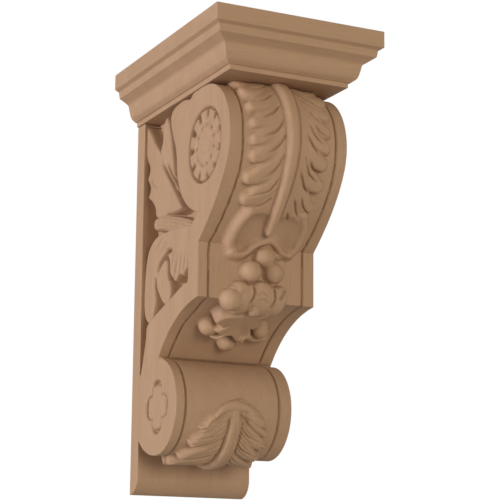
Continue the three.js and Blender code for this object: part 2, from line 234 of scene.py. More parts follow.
def arc(centre, radii, start, stop, steps):
    angle = np.radians(np.linspace(start, stop, steps))
    return np.stack([centre[0] + radii[0] * np.cos(angle), centre[1] + radii[1] * np.sin(angle)], 1)


def bend(start, control, stop):
    share = np.linspace(0, 1, 60)[:, None]
    start, control, stop = map(np.asarray, (start, control, stop))
    return (1 - share)**2 * start + 2 * share * (1 - share) * control + share**2 * stop


bulge = np.vstack([
    arc(volute_centre, (volute_radius, volute_rise), 90, 0, 120),
    arc(volute_centre, (volute_radius, volute_radius), 0, -25, 40)[1:],
])
slope = bend(bulge[-1], slope_bend, (flat_forward, flat_top))[1:]
cove = bend((flat_forward, flat_bottom), cove_bend, cove_foot)
tail_stop = -180 + math.degrees(math.acos((roll_centre[0] - body_back) / roll_tail))
roll = np.vstack([
    arc(roll_centre, (roll_radius, roll_radius), 88, -90, 200),
    arc(roll_centre, (roll_tail, roll_radius), -90, tail_stop, 60)[1:],
])
front_line = np.vstack([bulge, slope, cove, roll])
front_length = np.r_[0, np.cumsum(np.hypot(*np.diff(front_line, axis=0).T))]
flat_starts = front_length[len(bulge) + len(slope) - 1]
cove_starts = front_length[len(bulge) + len(slope)]
roll_starts = front_length[len(bulge) + len(slope) + len(cove) - 1]
roll_ends = front_length[-1]


def front_point(length):
    """(forward, height) at each length down the front."""
    return np.stack([np.interp(length, front_length, front_line[:, i]) for i in (0, 1)], -1)


def outward_at(length):
    """The direction that points straight out of the front, eased over the outline's corners."""
    run = front_point(length + normal_reach) - front_point(length - normal_reach)
    run /= np.linalg.norm(run, axis=-1, keepdims=True)
    return np.stack([-run[..., 1], run[..., 0]], -1)


def eased_front(length):
    """The front's line with its corners eased, which raised carving runs over."""
    shifts = np.linspace(-normal_reach, normal_reach, 9)
    weights = 1 - np.abs(shifts) / (normal_reach + 2)
    total = sum(weight * front_point(length + shift) for shift, weight in zip(shifts, weights))
    return total / weights.sum()


def in_box(panel, low, high):
    """Which of the panel's points lie between two corners."""
    return np.flatnonzero((panel.u > low[0]) & (panel.u < high[0]) & (panel.v > low[1]) & (panel.v < high[1]))


def follow(panel, line, reach):
    """The panel's points near a smooth line: how far along it each one lies, from 0 to 1, and how far
    away from it, which also counts beyond the line's two ends."""
    path = curve_through(line)
    low, high = path.min(axis=0) - reach, path.max(axis=0) + reach
    near = in_box(panel, low, high)
    du = panel.u[near, None] - path[None, :, 0]
    dv = panel.v[near, None] - path[None, :, 1]
    closest = np.argmin(du * du + dv * dv, axis=1)
    run = np.gradient(path, axis=0)
    step = np.linalg.norm(run, axis=1)
    run /= step[:, None]
    rows = np.arange(near.size)
    du, dv, run, step = du[rows, closest], dv[rows, closest], run[closest], step[closest]
    ahead = du * run[:, 0] + dv * run[:, 1]
    beside = dv * run[:, 0] - du * run[:, 1]
    beyond = np.where(closest == 0, np.maximum(-ahead, 0), 0)
    beyond = np.where(closest == len(path) - 1, np.maximum(ahead, 0), beyond)
    along = np.clip((closest + ahead / step) / (len(path) - 1), 0, 1)
    return near, along, np.hypot(beside, beyond)


def lobe(panel, line, width, crown, base=(0, 0), ends=(0.6, 1.0), fullness=2.2):
    """Raises a rounded lobe along a line, as the gouge leaves it. crown and base are heights and ends
    are shares of the width, each given for the line's start and its end."""
    near, along, away = follow(panel, line, width / 2)
    half = width / 2 * np.interp(along, [0, 0.55, 1], [ends[0], 1, ends[1]])
    share = away / half
    inside = share < 1
    crown = crown if isinstance(crown, tuple) else (crown, crown)
    rise = np.interp(along, [0, 1], crown) * (1 - np.minimum(share, 1)**fullness)**0.5
    rise += np.interp(along, [0, 1], base)
    panel.h[near[inside]] = np.maximum(panel.h[near[inside]], rise[inside])


def cut(panel, line, width, depth, fade=(0.1, 0.1)):
    """Cuts a V groove along a line. It runs out over a share of the line at each end."""
    near, along, away = follow(panel, line, width / 2)
    from_start = along / max(fade[0], 1e-3)
    from_stop = (1 - along) / max(fade[1], 1e-3)
    run_out = np.minimum(1, np.minimum(from_start, from_stop) + 0.15)
    panel.h[near] -= depth * run_out * np.clip(1 - away / (width / 2), 0, 1)


def hollow(panel, line, width, floor, ends=(1.0, 1.0)):
    """Scoops a rounded trough along a line, down to a floor height."""
    near, along, away = follow(panel, line, width / 2)
    half = width / 2 * np.interp(along, [0, 0.5, 1], [ends[0], 1, ends[1]])
    share = np.minimum(away / half, 1)
    bowl = floor + (panel.h[near] - floor) * share**2.5
    panel.h[near] = np.minimum(panel.h[near], np.maximum(bowl, floor))


def ball(panel, centre, radius, centre_height):
    """A round berry, whose middle stands at a height over the front."""
    across, length = centre
    middle = eased_front(length) + outward_at(length) * centre_height
    near = np.flatnonzero((np.abs(panel.u - across) < radius) & (np.abs(panel.v - length) < 3 * radius))
    toward = middle - panel.eased[near]
    ahead = np.einsum("ij,ij->i", toward, panel.outward[near])
    clear = np.einsum("ij,ij->i", toward, toward) - ahead**2 + (panel.u[near] - across)**2
    inside = clear < radius**2
    lift = ahead[inside] + np.sqrt(radius**2 - clear[inside])
    panel.h[near[inside]] = np.maximum(panel.h[near[inside]], lift)


def within(u, v, outline):
    """Which points lie inside a closed outline."""
    inside = np.zeros(len(u), bool)
    for (au, av), (bu, bv) in zip(outline, np.roll(outline, -1, axis=0)):
        crosses = (av > v) != (bv > v)
        with np.errstate(divide="ignore", invalid="ignore"):
            at = au + (v - av) * (bu - au) / (bv - av)
        inside ^= crosses & (u < at)
    return inside


def nearest_on(outline, points):
    """The nearest points on a closed outline, and its inward direction there."""
    starts, stops = outline, np.roll(outline, -1, axis=0)
    run = stops - starts
    length = np.maximum(np.einsum("ij,ij->i", run, run), 1e-12)
    share = np.clip(np.einsum("pij,ij->pi", points[:, None] - starts[None], run) / length, 0, 1)
    there = starts[None] + share[..., None] * run[None]
    closest = np.argmin(np.linalg.norm(there - points[:, None], axis=2), axis=1)
    rows = np.arange(len(points))
    inward = np.stack([run[closest, 1], -run[closest, 0]], 1)
    inward /= np.linalg.norm(inward, axis=1)[:, None]
    return there[rows, closest], inward


def leaf(panel, outline, crown, shoulder):
    """Raises a leaf's whole outline: flat on top, and rounded down to its edge over the shoulder. The
    crown may differ between the least and the greatest length."""
    ring = curve_through([*outline, outline[0]], 6)[:-1]
    low, high = ring.min(axis=0), ring.max(axis=0)
    near = in_box(panel, low, high)
    near = near[within(panel.u[near], panel.v[near], ring)]
    points = np.stack([panel.u[near], panel.v[near]], 1)
    away = np.linalg.norm(nearest_on(ring, points)[0] - points, axis=1)
    crown = crown if isinstance(crown, tuple) else (crown, crown)
    top = np.interp(panel.v[near], [low[1], high[1]], crown)
    rise = top * (1 - (1 - np.minimum(away / shoulder, 1))**2)**0.5
    panel.h[near] = np.maximum(panel.h[near], rise)


def carve(panel, *forms):
    """Carves each form by itself, and keeps the highest of them."""
    for form in forms:
        part = SimpleNamespace(**{**vars(panel), "h": np.zeros(len(panel.u))})
        form(part)
        panel.h[:] = np.maximum(panel.h, part.h)


def settle(panel, reach):
    """Eases the places where forms meet, as sanding does, over a reach in millimetres."""
    field = panel.h.reshape(panel.shape)
    for _ in range(round(4 * (reach / panel.pitch)**2)):
        wide = np.pad(field, 1, mode="edge")
        field = (wide[:-2, 1:-1] + wide[2:, 1:-1] + wide[1:-1, :-2] + wide[1:-1, 2:] + 4 * field) / 8
    panel.h[:] = field.ravel()


def mirrored(side, *points):
    return [(side * across, length) for across, length in points]


# Acanthus: a round stem, with leaflets that sweep out and down from it and curl over at their tips,
# and two scooped lobes at its foot. Values are millimetres on the panel.
leaflet_tips = [(37, 17), (37, 35.5), (37, 52), (36, 66), (35.5, 78.5), (34.5, 90.5), (35.5, 107.5),
                (32.5, 125)]
leaflet_width, tip_round = 15.4, 6.5
top_stretch, top_breadth = 40, 1.3
stem_end, stem_sides, stem_crown = 148.0, 5.6, 5.4
right_scoop_shift = 3
veins_high = [[(9, 6), (17, 14), (27, 17)], [(9, 22), (17, 30), (27, 33)], [(11, 38), (20, 46), (30, 49)]]
veins_left = [
    [(-9, 50), (-15, 57), (-24, 62)], [(-7, 61), (-11, 68), (-17, 73), (-24, 75.5)],
    [(-6, 73), (-10, 79), (-15, 84), (-20, 87)], [(-6, 87), (-10, 95), (-14, 101), (-19, 105)],
    [(-6, 104), (-10, 111), (-14, 116), (-26, 121)], [(-8, 120), (-14, 127), (-20, 129.5)],
]
veins_right = [
    [(16.5, 50), (23, 58), (30, 61)], [(20, 62), (24, 67), (31, 70)], [(15, 62), (20, 71), (28, 77)],
    [(12, 70), (19, 79), (27, 87)], [(17, 88), (21, 94), (28, 97), (33, 96.5)],
    [(12, 86), (17, 97), (22, 101), (28, 104.5)], [(9.5, 96), (16, 107), (21, 113), (24.5, 116.5)],
    [(16.5, 116), (21, 124), (27, 129), (31, 130)], [(12, 119), (16, 128), (20, 134)], [(10, 131), (14, 140)],
]
valleys_left = [
    [(-36, 59), (-28, 57), (-18, 53)], [(-35, 72), (-29, 71), (-19, 67)], [(-35, 85), (-24, 82), (-14, 75)],
    [(-34, 99), (-27, 96.5), (-20, 93.5), (-12, 87)], [(-34, 114), (-24, 113), (-12, 106)],
]
valleys_right = [[(-across, length) for across, length in line] for line in valleys_left]


def carve_acanthus(panel):
    lobe(panel, [(0, -20), (0, 60), (0, 120)], 58, 6.0, ends=(1, 0.8), fullness=5)
    for side in (-1, 1):
        for tip_across, tip_length in leaflet_tips:
            reach = tip_across - tip_round
            centre = mirrored(side, (3, tip_length - 29), (9, tip_length - 16), (18, tip_length - 7.5),
                              (reach * 0.85, tip_length - 2), (reach, tip_length))
            broad = top_breadth if tip_length < top_stretch else 1.0
            lobe(panel, centre, leaflet_width * broad, (0.6, 5.4), base=(6.2, 0.8), ends=(0.7, 0.8),
                 fullness=3)
        lobe(panel, mirrored(side, (13, 128), (14, 148), (15, 166)), 30, 5.6, ends=(0.9, 0.9), fullness=5)
    rim_left = [(-20.5, 134), (-25, 144), (-26.5, 156), (-26, 167), (-23, 174.5)]
    rim_right = [(25, 133), (29.5, 144), (31, 156), (30, 166), (25.5, 172.5)]
    for side, shift, rim in ((-1, 0, rim_left), (1, right_scoop_shift, rim_right)):
        scoop = mirrored(side, (10 + shift, 145), (13 + shift, 154), (15 + shift, 166))
        hollow(panel, scoop, 23, 2.0, ends=(1.0, 0.8))
        lobe(panel, rim, 10.4, 7.6, ends=(1.0, 1.1), fullness=2)
    arch = [(-24, 177), (-18, 178), (-12, 175), (-7.5, 168.5), (-2, 161.5), (4.5, 158), (10, 159.5),
            (14.5, 165), (19, 171.5), (25, 174)]
    lobe(panel, arch, 9.0, 7.8, ends=(1.0, 1.0), fullness=2.2)
    settle(panel, 0.7)
    near, along, away = follow(panel, [(0, -20), (0, 60), (0, stem_end)], 9)
    half = np.interp(along, [0, 0.4, 0.75, 1], [7.0, 6.2, 4.8, 3.8])
    inside = away < half
    swell = stem_sides + stem_crown * (1 - (away[inside] / half[inside])**3)**0.5
    panel.h[near[inside]] = np.maximum(panel.h[near[inside]], swell)
    for line in [*(mirrored(-1, *line) for line in veins_high), *veins_left]:
        cut(panel, line, 1.9, 3.8, fade=(0.15, 0.4))
    for line in [*veins_high, *veins_right]:
        cut(panel, line, 1.8, 2.8, fade=(0.2, 0.4))
    for line in [*valleys_left, *valleys_right]:
        cut(panel, line, 3.4, 1.8, fade=(0.1, 0.5))
    for side, depth in ((-1, 1.2), (1, 2.4)):
        beside_stem = mirrored(side, (8.0, -10), (7.0, 60), (5.6, 112), (4.6, stem_end))
        cut(panel, beside_stem, 2.0, depth, fade=(0.0, 0.05))


def carve_grapes(panel):
    ball(panel, (4.4, 177.6), 9.0, 3.6)
    ball(panel, (-7.2, 190.6), 8.8, 4.0)
    ball(panel, (12.8, 190.2), 8.4, 4.0)


def below_corner(points):
    return [(across, cove_starts + length) for across, length in points]


def carve_flower(panel):
    """A flower over the lower corner of the flat, and berries round a ragged leaf below it. Lengths
    are counted down from that corner."""
    ragged = [(-26.5, 22), (-23, 15), (-12, 10), (-2, 9), (6, 8), (12, 3), (16, 9), (13, 18), (15, 28),
              (11, 35), (14.5, 42), (11.5, 47), (11, 58), (5, 52), (-1, 50), (-6, 45), (-13, 51), (-21, 53),
              (-16, 45), (-24, 39), (-19, 33), (-26, 28)]
    leaf(panel, below_corner(ragged), (9.0, 14.5), 4.0)
    for line, width, crown, ends, fullness in [
        ([(15, 51), (22, 54), (31, 53)], 9, (7.5, 6.0), (0.9, 0.8), 3),
        ([(-20, -5), (0, -5.5), (19, -5)], 17, 8.6, (0.8, 0.8), 4),
        ([(-13, 5), (-14, -2), (-16, -7)], 18, 9.6, (1, 0.9), 3),
        ([(16, 5), (17.5, -3), (18.5, -7)], 16, 9.2, (0.9, 0.9), 3),
        ([(3, 5), (3, -2), (2.5, -7)], 20, 10.0, (1, 0.95), 4),
    ]:
        lobe(panel, below_corner(line), width, crown, ends=ends, fullness=fullness)
    settle(panel, 0.5)
    hollow(panel, below_corner([(-2, 16), (2, 28), (6, 40)]), 16, 11.0, ends=(0.8, 0.6))
    settle(panel, 0.3)
    for across, drop, radius, centre_height in [
        (-23.1, -0.8, 9.2, 4.2), (-22.5, 43, 8.2, 3.4), (0.3, 61, 7.8, 3.0), (22.8, 42, 6.8, 4.2),
        (-1.8, 4, 4.8, 8.0),
    ]:
        ball(panel, (across, cove_starts + drop), radius, centre_height)
    for line, width, depth in [
        ([(-6.2, -11), (-5.4, -6), (-6.6, -3), (-9.5, 0.5)], 1.7, 7.0),
        ([(11.5, -11), (12.7, -5), (12.2, -2), (10.2, 1.5)], 1.7, 7.0),
        ([(-4, -4.6), (1.5, -6.6), (7.5, -4.8)], 1.6, 1.5),
        ([(-3, -1.6), (1.5, -3.4), (6, -1.8)], 1.6, 1.5),
        ([(16.5, -4), (19, -6.5), (21.5, -10.5)], 3.0, 3.6),
        ([(-14, -8), (-17, -5), (-19, -1)], 1.6, 1.0),
        ([(-23, 36), (-16, 33), (-11, 27)], 2.0, 1.6),
        ([(-19, 49), (-13, 43), (-9, 35)], 2.0, 1.6),
        ([(15, 41), (11, 36), (8, 30)], 2.0, 1.4),
    ]:
        cut(panel, below_corner(line), width, depth, fade=(0.15, 0.25))


roll_leaflet_width, roll_tip_round = 13.5, 3.5


def carve_roll_leaf(panel):
    """Acanthus that rises from the board under the roll and ends in a turned-over lip."""
    lobe(panel, [(-2, 374), (-2, 400), (0, 440)], 50, (1.5, 4.5), ends=(0.6, 1), fullness=5)
    tips_left = [(-29, 377.5), (-35, 390), (-38, 406), (-41.5, 420), (-38, 434)]
    tips_right = [(28, 374), (32, 390), (31, 403), (34, 420)]
    jitter = np.random.default_rng(5)
    for tips in (tips_left, tips_right):
        side = math.copysign(1, tips[0][0])
        for index, (tip_across, tip_length) in enumerate(tips):
            reach = abs(tip_across) - roll_tip_round
            rise = 5.0 + 0.6 * index
            centre = mirrored(side, (4, tip_length - 15), (13, tip_length - 9), (reach * 0.8, tip_length - 3),
                              (reach, tip_length))
            lobe(panel, centre, roll_leaflet_width, (1.5, rise), base=(3.6, 0.6), ends=(0.8, 0.65),
                 fullness=3)
    settle(panel, 0.5)
    for tips in (tips_left, tips_right):
        side = math.copysign(1, tips[0][0])
        for tip_across, tip_length in tips:
            for spread, share, depth in ((-4.4, 0.62, 1.4), (-1.2, 0.8, 2.2), (2.0, 0.7, 1.2)):
                shift, curl = spread + jitter.uniform(-0.5, 0.5), jitter.uniform(-0.5, 1.5)
                reach = abs(tip_across) * share * jitter.uniform(0.85, 1.05)
                rib = mirrored(side, (6, tip_length - 13 + shift), (13, tip_length - 8 + shift + curl),
                               (reach, tip_length - 2.5 + shift))
                cut(panel, rib, 1.9, depth, fade=(0.1, 0.5))
            for spread in (-2.6, 2.2):
                nick = mirrored(side, (abs(tip_across) + 4, tip_length + 1.5 + spread),
                                (abs(tip_across) - 5, tip_length - 1.5 + spread * 0.7))
                cut(panel, nick, 2.2, 4.5, fade=(0.0, 0.6))
    lobe(panel, [(-8, 363), (-15, 366.5), (-21, 371), (-24.5, 376)], 5.2, 6.2, ends=(0.9, 0.8))
    lobe(panel, [(-9, 368), (-14, 371), (-18, 375)], 3.6, 5.0, ends=(0.9, 0.7))
    lobe(panel, [(10, 366), (16, 368), (22.5, 371)], 10, 7.0, ends=(0.6, 0.9), fullness=2.6)
    lobe(panel, [(12, 371), (19, 375), (27, 379)], 7, 6.4, ends=(0.6, 0.9))
    near, along, away = follow(panel, [(-1.5, 362), (-1, 380), (-0.5, 400), (0, roll_ends + 8)], 8)
    half = np.interp(along, [0, 0.3, 1], [5.0, 6.0, 7.5])
    inside = away < half
    swell = np.interp(along[inside], [0, 0.3, 1], [5.6, 8.4, 9.6])
    swell *= (1 - (away[inside] / half[inside])**4)**0.5
    panel.h[near[inside]] = np.maximum(panel.h[near[inside]], swell)
    for side in (-1, 1):
        cut(panel, mirrored(side, (6.0, 369), (6.8, 400), (8.0, roll_ends)), 2.2, 3.6, fade=(0.05, 0.0))
    cut(panel, [(-0.4, 371), (0.8, 385), (1.6, 405), (2, roll_ends)], 3.4, 1.3)
    lip = [(-17, 367), (-10, 362), (-1, 359.8), (8, 361), (15, 364.5)]
    lobe(panel, lip, 11, 7.2, ends=(0.4, 0.5), fullness=2.4)


# Two scribed lines run down the front beside the carving, and one crosses it where the cove meets the
# roll. They are given as (length, across), and the wood in them is darkened with painted shade, for the
# shadow deep in the grooves.
border_left = [(0, -38.5), (75, -39.5), (104, -37.7), (160, -39.7), (178, -42), (215, -41.6), (243, -39.4),
               (262, -41), (330, -42.2), (450, -42)]
border_right = [(0, 41), (80, 41.3), (110, 42.4), (150, 41.8), (172, 40.6), (205, 40.5), (325, 39.9),
                (450, 40)]
border_half_width, border_depth = 1.1, 2.3
crossing_drop, crossing_half_width, crossing_depth = 0.5, 2.0, 2.8
# Width of the painted shade along the scribed lines and the crossing line.
stained_width = 1.8
skin_depth, skin_taper = 5.0, 0.94
eased_from = 4.0


def carve_front(panel):
    carve(panel, carve_acanthus, carve_grapes, carve_flower, carve_roll_leaf)
    beside = np.min([np.abs(panel.u - np.interp(panel.v, *np.transpose(line)))
                     for line in (border_left, border_right)], axis=0)
    from_crossing = np.abs(panel.v - roll_starts - crossing_drop)
    # Painted shade: the faces in this mask get the darker wood, for the shadow deep in the scribed lines and
    # the crossing line.
    panel.stained = np.minimum(beside, from_crossing) < stained_width / 2
    panel.h -= border_depth * np.clip(1 - beside / border_half_width, 0, 1)**0.6
    panel.h -= crossing_depth * np.clip(1 - from_crossing / crossing_half_width, 0, 1)


def front_piece(name, first, last):
    """One stretch of the carved front, between two of its rows, as a thick closed skin. It follows
    the outline itself where the carving is low, and the eased outline where it stands high."""
    rows = slice(first * (columns + 1), (last + 1) * (columns + 1))
    bm = bmesh.new()
    bmesh.ops.create_grid(bm, x_segments=columns, y_segments=last - first, size=0.5)
    across, height = front.u[rows], front.h[rows, None]
    share = np.clip(height / eased_from, 0, 1)
    surface = front.spot[rows] * (1 - share) + front.eased[rows] * share + front.outward[rows] * height
    surface[:, 1] = np.minimum(surface[:, 1], block_top)
    surface[:, 0] = np.maximum(surface[:, 0], body_back)
    inner = front.spot[rows] - front.outward[rows] * skin_depth
    for vert, side, spot in zip(bm.verts, across, surface):
        vert.co = Vector((side * MM, -spot[0] * MM, spot[1] * MM + block_bottom))
    bm.verts.index_update()
    stained = front.stained[rows]
    # Faces wholly in the scribed lines take the second, darker wood, which is painted shade.
    for face in bm.faces:
        face.material_index = int(all(stained[vert.index] for vert in face.verts))
    homes = {tuple(vert.co): (side * skin_taper, *spot) for vert, side, spot in zip(bm.verts, across, inner)}
    grown = bmesh.ops.extrude_edge_only(bm, edges=[edge for edge in bm.edges if edge.is_boundary])["geom"]
    loops = [part for part in grown if isinstance(part, bmesh.types.BMEdge)]
    for vert in grown:
        if isinstance(vert, bmesh.types.BMVert):
            side, forward, up = homes[tuple(vert.co)]
            vert.co = Vector((side * MM, -forward * MM, up * MM + block_bottom))
    rails = [edge for edge in loops if abs(edge.verts[0].co.x - edge.verts[1].co.x) < 1e-7]
    bmesh.ops.bridge_loops(bm, edges=rails)
    bmesh.ops.holes_fill(bm, edges=[edge for edge in bm.edges if edge.is_boundary], sides=0)
    bmesh.ops.recalc_face_normals(bm, faces=bm.faces)
    for face in bm.faces:
        face.smooth = True
    piece = put_in(bm, name, body_wood, "scroll_body")
    piece.data.materials.append(groove_shade_wood)


# A darker copy of the wood: painted shade for the shadow inside the scribed lines and the crossing line.
shade_pale, shade_dark = (0.31, 0.18, 0.095), (0.27, 0.15, 0.075)
body_wood = wood("body_wood", "Z", wood_pale, wood_dark)
groove_shade_wood = wood("groove_shade_wood", "Z", shade_pale, shade_dark)
pitch = 0.52


def rows_between(*corners):
    """Even rows down the front that land on each of the outline's corners, and where those fall."""
    runs = [np.linspace(a, b, round((b - a) / pitch) + 1)[:-1] for a, b in zip(corners, corners[1:])]
    return np.concatenate([*runs, corners[-1:]]), np.cumsum([0, *map(len, runs)])


columns = round(2 * half_body / pitch / 2) * 2
lengths, marks = rows_between(0.0, flat_starts, cove_starts, roll_starts, roll_ends)
front = SimpleNamespace(pitch=pitch, shape=(len(lengths), columns + 1))
front.u = np.tile(np.linspace(-half_body, half_body, columns + 1), len(lengths))
front.v = np.repeat(lengths, columns + 1)
front.h = np.zeros(len(front.u))
front.spot, front.eased, front.outward = front_point(front.v), eased_front(front.v), outward_at(front.v)
carve_front(front)
front_piece("acanthus_front", marks[0], marks[1])
front_piece("fruit_front", marks[1], marks[3])
front_piece("roll_front", marks[3], marks[4])

# Scroll body, sides: both flanks are the same block, with the ground behind the volute sunk deep
# and a husk, a corded collar and a hanging acanthus left standing in it. A rosette is carved in the
# volute's eye and a quatrefoil is cut in the roll's. Values are (forward, height) in millimetres.
recess, flank_inside = 14.0, 28.0
foliage_sink = 0.4
rim_inset = 5.5
ring_radius, ring_starts, ring_stops = 52.5, 114, 259
band_inner = 108.0
rosette_radius, whorl_radius, button_radius = 30.5, 16.5, 7.0
rosette_petals, rosette_sink, petal_relief, whorl_line = 11, 0.5, 1.3, 0.9
petal_notches = ((22.5, 6.0, 5.6, 10.0), (14.0, 3.0, 3.4, 4.0))
groove_depth, groove_half_width = 6.0, 1.3
quatrefoil_radius = 21.0
foil_reach, foil_radius = quatrefoil_radius * 0.55, quatrefoil_radius * 0.45
foil_line_depth, foil_line_half_width = 3.2, 1.1
foil_gouge_inset, foil_gouge_width, foil_gouge_depth = 1.6, 4.6, 6.0

field_outline = np.vstack([
    [(0, block_top + 5)],
    [(volute_centre[0] + ring_radius * math.cos(math.radians(ring_starts)), block_top + 5)],
    arc(volute_centre, (ring_radius, ring_radius), ring_starts, ring_stops, 60),
    curve_through([(127, 213), (115, 205), (band_inner, 194), (band_inner, 162), (103, 159.5)]),
    curve_through([(103, 159.5), (65.5, 148.5), (31, 137), (27, 126), (21.5, 108), (17.5, 97)]),
    [(0, 96)],
])


def carve_husk(panel):
    """Three broad husk leaves that stand up behind the volute. Heights are above the sunk ground."""
    leaf(panel, [(13, 313), (20, 305), (26, 299), (33, 290.5), (39.5, 285), (52, 272), (60, 258), (66, 240),
                 (66, 224), (39, 224), (34, 233), (27, 240), (19, 245.5), (23, 253), (17, 262), (21, 270),
                 (14, 282), (13, 298)], 11.6, 2.0)
    leaf(panel, [(57, 309), (51.5, 304), (48.2, 298), (48.6, 289), (44, 279), (46, 262), (52, 245), (60, 224),
                 (90, 222), (84, 238), (77, 253), (73, 268), (69, 282), (66, 293), (62, 302)], 12.4, 2.6)
    leaf(panel, [(65, 303), (67, 294), (71, 284), (76, 274), (80, 258), (85, 243), (93, 229), (112, 224.5),
                 (114, 290), (112, 306), (96, 313), (78, 312.5), (69, 309.5)], 13.0, 2.6)
    settle(panel, 0.35)
    for line, width, depth in [
        ([(63.5, 304), (67, 292), (72, 280), (77, 270)], 4.0, 8.0),
        ([(49, 270), (61, 257), (76, 241.5), (95, 221)], 4.6, 9.0),
        ([(60, 268), (67, 257.5), (80, 243.5), (94, 228)], 3.8, 7.0),
        ([(29, 300), (32, 284), (36, 264)], 2.2, 0.9),
        ([(22, 262), (30, 256), (38, 250)], 2.6, 1.4),
        ([(34, 242), (42, 250), (46, 262)], 2.2, 1.0),
        ([(57, 300), (57, 286), (58, 272)], 2.4, 1.0),
    ]:
        cut(panel, line, width, depth, fade=(0.35, 0.1))


def carve_collar(panel):
    """A corded band that binds the husk, with two stitches near each end."""
    band = [(39, 219.5), (52, 218), (76, 212.2), (96, 206.4), (117, 199.5)]
    lobe(panel, band, 14.4, 12.2, ends=(0.85, 0.9), fullness=8)
    for drop in (-5.0, -1.7, 1.6, 4.9):
        cut(panel, [(forward, up + drop) for forward, up in band], 2.0, 1.5)
    for forward, up in ((55, 217.6), (60, 216.6), (88, 210.0), (93, 208.8)):
        cut(panel, [(forward + 1, up + 6), (forward, up - 6)], 1.5, 1.0, fade=(0.0, 0.0))


def carve_hanging_leaf(panel):
    """The acanthus below the collar: two long lobes at the back, and a fan of narrow ones in front."""
    leaf(panel, [(46, 211), (34, 209), (22, 201), (16, 188), (14, 172), (14, 152), (19, 141), (30, 136),
                 (36, 145), (39.5, 156), (37, 168), (44, 178), (56, 186), (62, 200), (58, 210)], 11.4, 2.4)
    leaf(panel, [(34, 178), (39, 166), (44.5, 158), (52, 151), (62, 147), (68, 156), (67, 166), (62, 174),
                 (60, 186), (46, 188)], 10.8, 1.8)
    leaf(panel, [(56, 210), (62, 192), (68, 182), (69, 173), (75, 167), (81, 163.5), (88, 168), (95, 166),
                 (103, 171), (112, 176), (112, 203), (90, 208)], 12.6, 1.8)
    settle(panel, 0.35)
    for line, width, depth in [
        ([(72, 192), (63, 191.5), (54, 188.5), (46, 184), (40, 178)], 5.6, 9.0),
        ([(66, 182), (64, 175), (65, 168)], 5.2, 9.0),
        ([(36.5, 176), (38.5, 168), (40.5, 160)], 3.4, 6.0),
        ([(99, 184), (97, 176), (93, 166)], 2.6, 2.4),
        ([(92, 188), (90, 178), (87, 167)], 2.6, 2.6),
        ([(84, 188), (82, 178), (77, 167)], 2.6, 2.4),
        ([(105, 186), (104, 178), (103, 170)], 2.4, 2.0),
        ([(77, 192), (74, 182), (71, 174)], 2.4, 1.8),
        ([(52, 206), (44, 202), (36, 196)], 2.4, 1.6),
        ([(60, 205), (53, 198), (42, 192)], 2.4, 1.6),
        ([(66, 205), (62, 198), (54, 192)], 2.0, 1.2),
        ([(52, 181), (50, 172), (52, 160)], 2.4, 1.2),
        ([(28, 196), (24, 182), (23, 164)], 2.4, 0.9),
    ]:
        cut(panel, line, width, depth, fade=(0.25, 0.25))


def carve_rosette(panel):
    """A rosette in a round groove: a button and two whorls of petals, with a notch between each two.
    The notches are given as (radius, length, width, depth)."""
    du, dv = panel.u - volute_centre[0], panel.v - volute_centre[1]
    away, turn = np.hypot(du, dv), np.arctan2(dv, du)
    inside = away < rosette_radius
    petal = np.abs(np.cos(turn * rosette_petals / 2))
    inner_petal = np.abs(np.sin(turn * rosette_petals / 2))
    outer = petal_relief * np.clip((away - 17) / 9, 0, 1) * (1 - petal**0.7)
    inner = (1 - inner_petal**0.7) * np.clip((away - button_radius) / 4, 0, 1) * (away < whorl_radius)
    whorl = np.exp(-((away - whorl_radius) / 1.1)**2)
    button = np.exp(-(away - button_radius)**2)
    panel.h[inside] -= (rosette_sink + outer + inner + whorl_line * (whorl + button))[inside]
    panel.h -= groove_depth * np.clip(1 - np.abs(away - rosette_radius + 1.1) / groove_half_width, 0, 1)
    for index in range(rosette_petals):
        angle = (index + 0.5) * 2 * math.pi / rosette_petals
        direction = np.array([math.cos(angle), math.sin(angle)])
        for radius, long, width, depth in petal_notches:
            cut(panel, [volute_centre + radius * direction, volute_centre + (radius + long) * direction],
                width, depth, fade=(0.6, 0.0))


def carve_quatrefoil(panel):
    """Four foils outlined by one V groove on the face of the roll, each with a gouge cut at its tip,
    and a short curl scribed above them."""
    gap = np.hypot(panel.u - roll_centre[0], panel.v - roll_centre[1]) - foil_radius
    for quarter in range(4):
        angle = quarter * math.pi / 2
        centre = roll_centre + foil_reach * np.array([math.cos(angle), math.sin(angle)])
        gap = np.minimum(gap, np.hypot(panel.u - centre[0], panel.v - centre[1]) - foil_radius)
    panel.h -= foil_line_depth * np.clip(1 - np.abs(gap) / foil_line_half_width, 0, 1)
    panel.h -= np.clip(-gap / 4, 0, 1) * (1 - np.clip(-gap / 9, 0, 1))
    for quarter in range(4):
        sweep = quarter * math.pi / 2 + np.radians([-24, -8, 8, 24])
        gouge_radius = quatrefoil_radius - foil_gouge_inset
        gouge = roll_centre + gouge_radius * np.stack([np.cos(sweep), np.sin(sweep)], 1)
        cut(panel, gouge, foil_gouge_width, foil_gouge_depth, fade=(0.5, 0.5))
    cut(panel, [(40, 104), (37, 100), (36, 95), (39, 90)], 1.6, 1.0)


def carve_side(panel):
    carve(panel, carve_husk, carve_collar, carve_hanging_leaf)
    sunk = within(panel.u, panel.v, field_outline)
    panel.h[:] = np.where(sunk, np.clip(panel.h, 0, recess - foliage_sink), recess)
    carve_rosette(panel)
    carve_quatrefoil(panel)


side_outline = np.vstack([[(body_back, block_top)], front_line])
side_pitch = 0.62

flank_low, flank_high = side_outline.min(axis=0), side_outline.max(axis=0)
flank_count = np.ceil((flank_high - flank_low) / side_pitch).astype(int)
flank = SimpleNamespace(pitch=side_pitch, shape=(flank_count[1] + 1, flank_count[0] + 1))
flank.u, flank.v = (axis.ravel() for axis in np.meshgrid(
    *(np.linspace(a, b, n + 1) for a, b, n in zip(flank_low, flank_high, flank_count))))
flank.h = np.zeros(len(flank.u))
carve_side(flank)


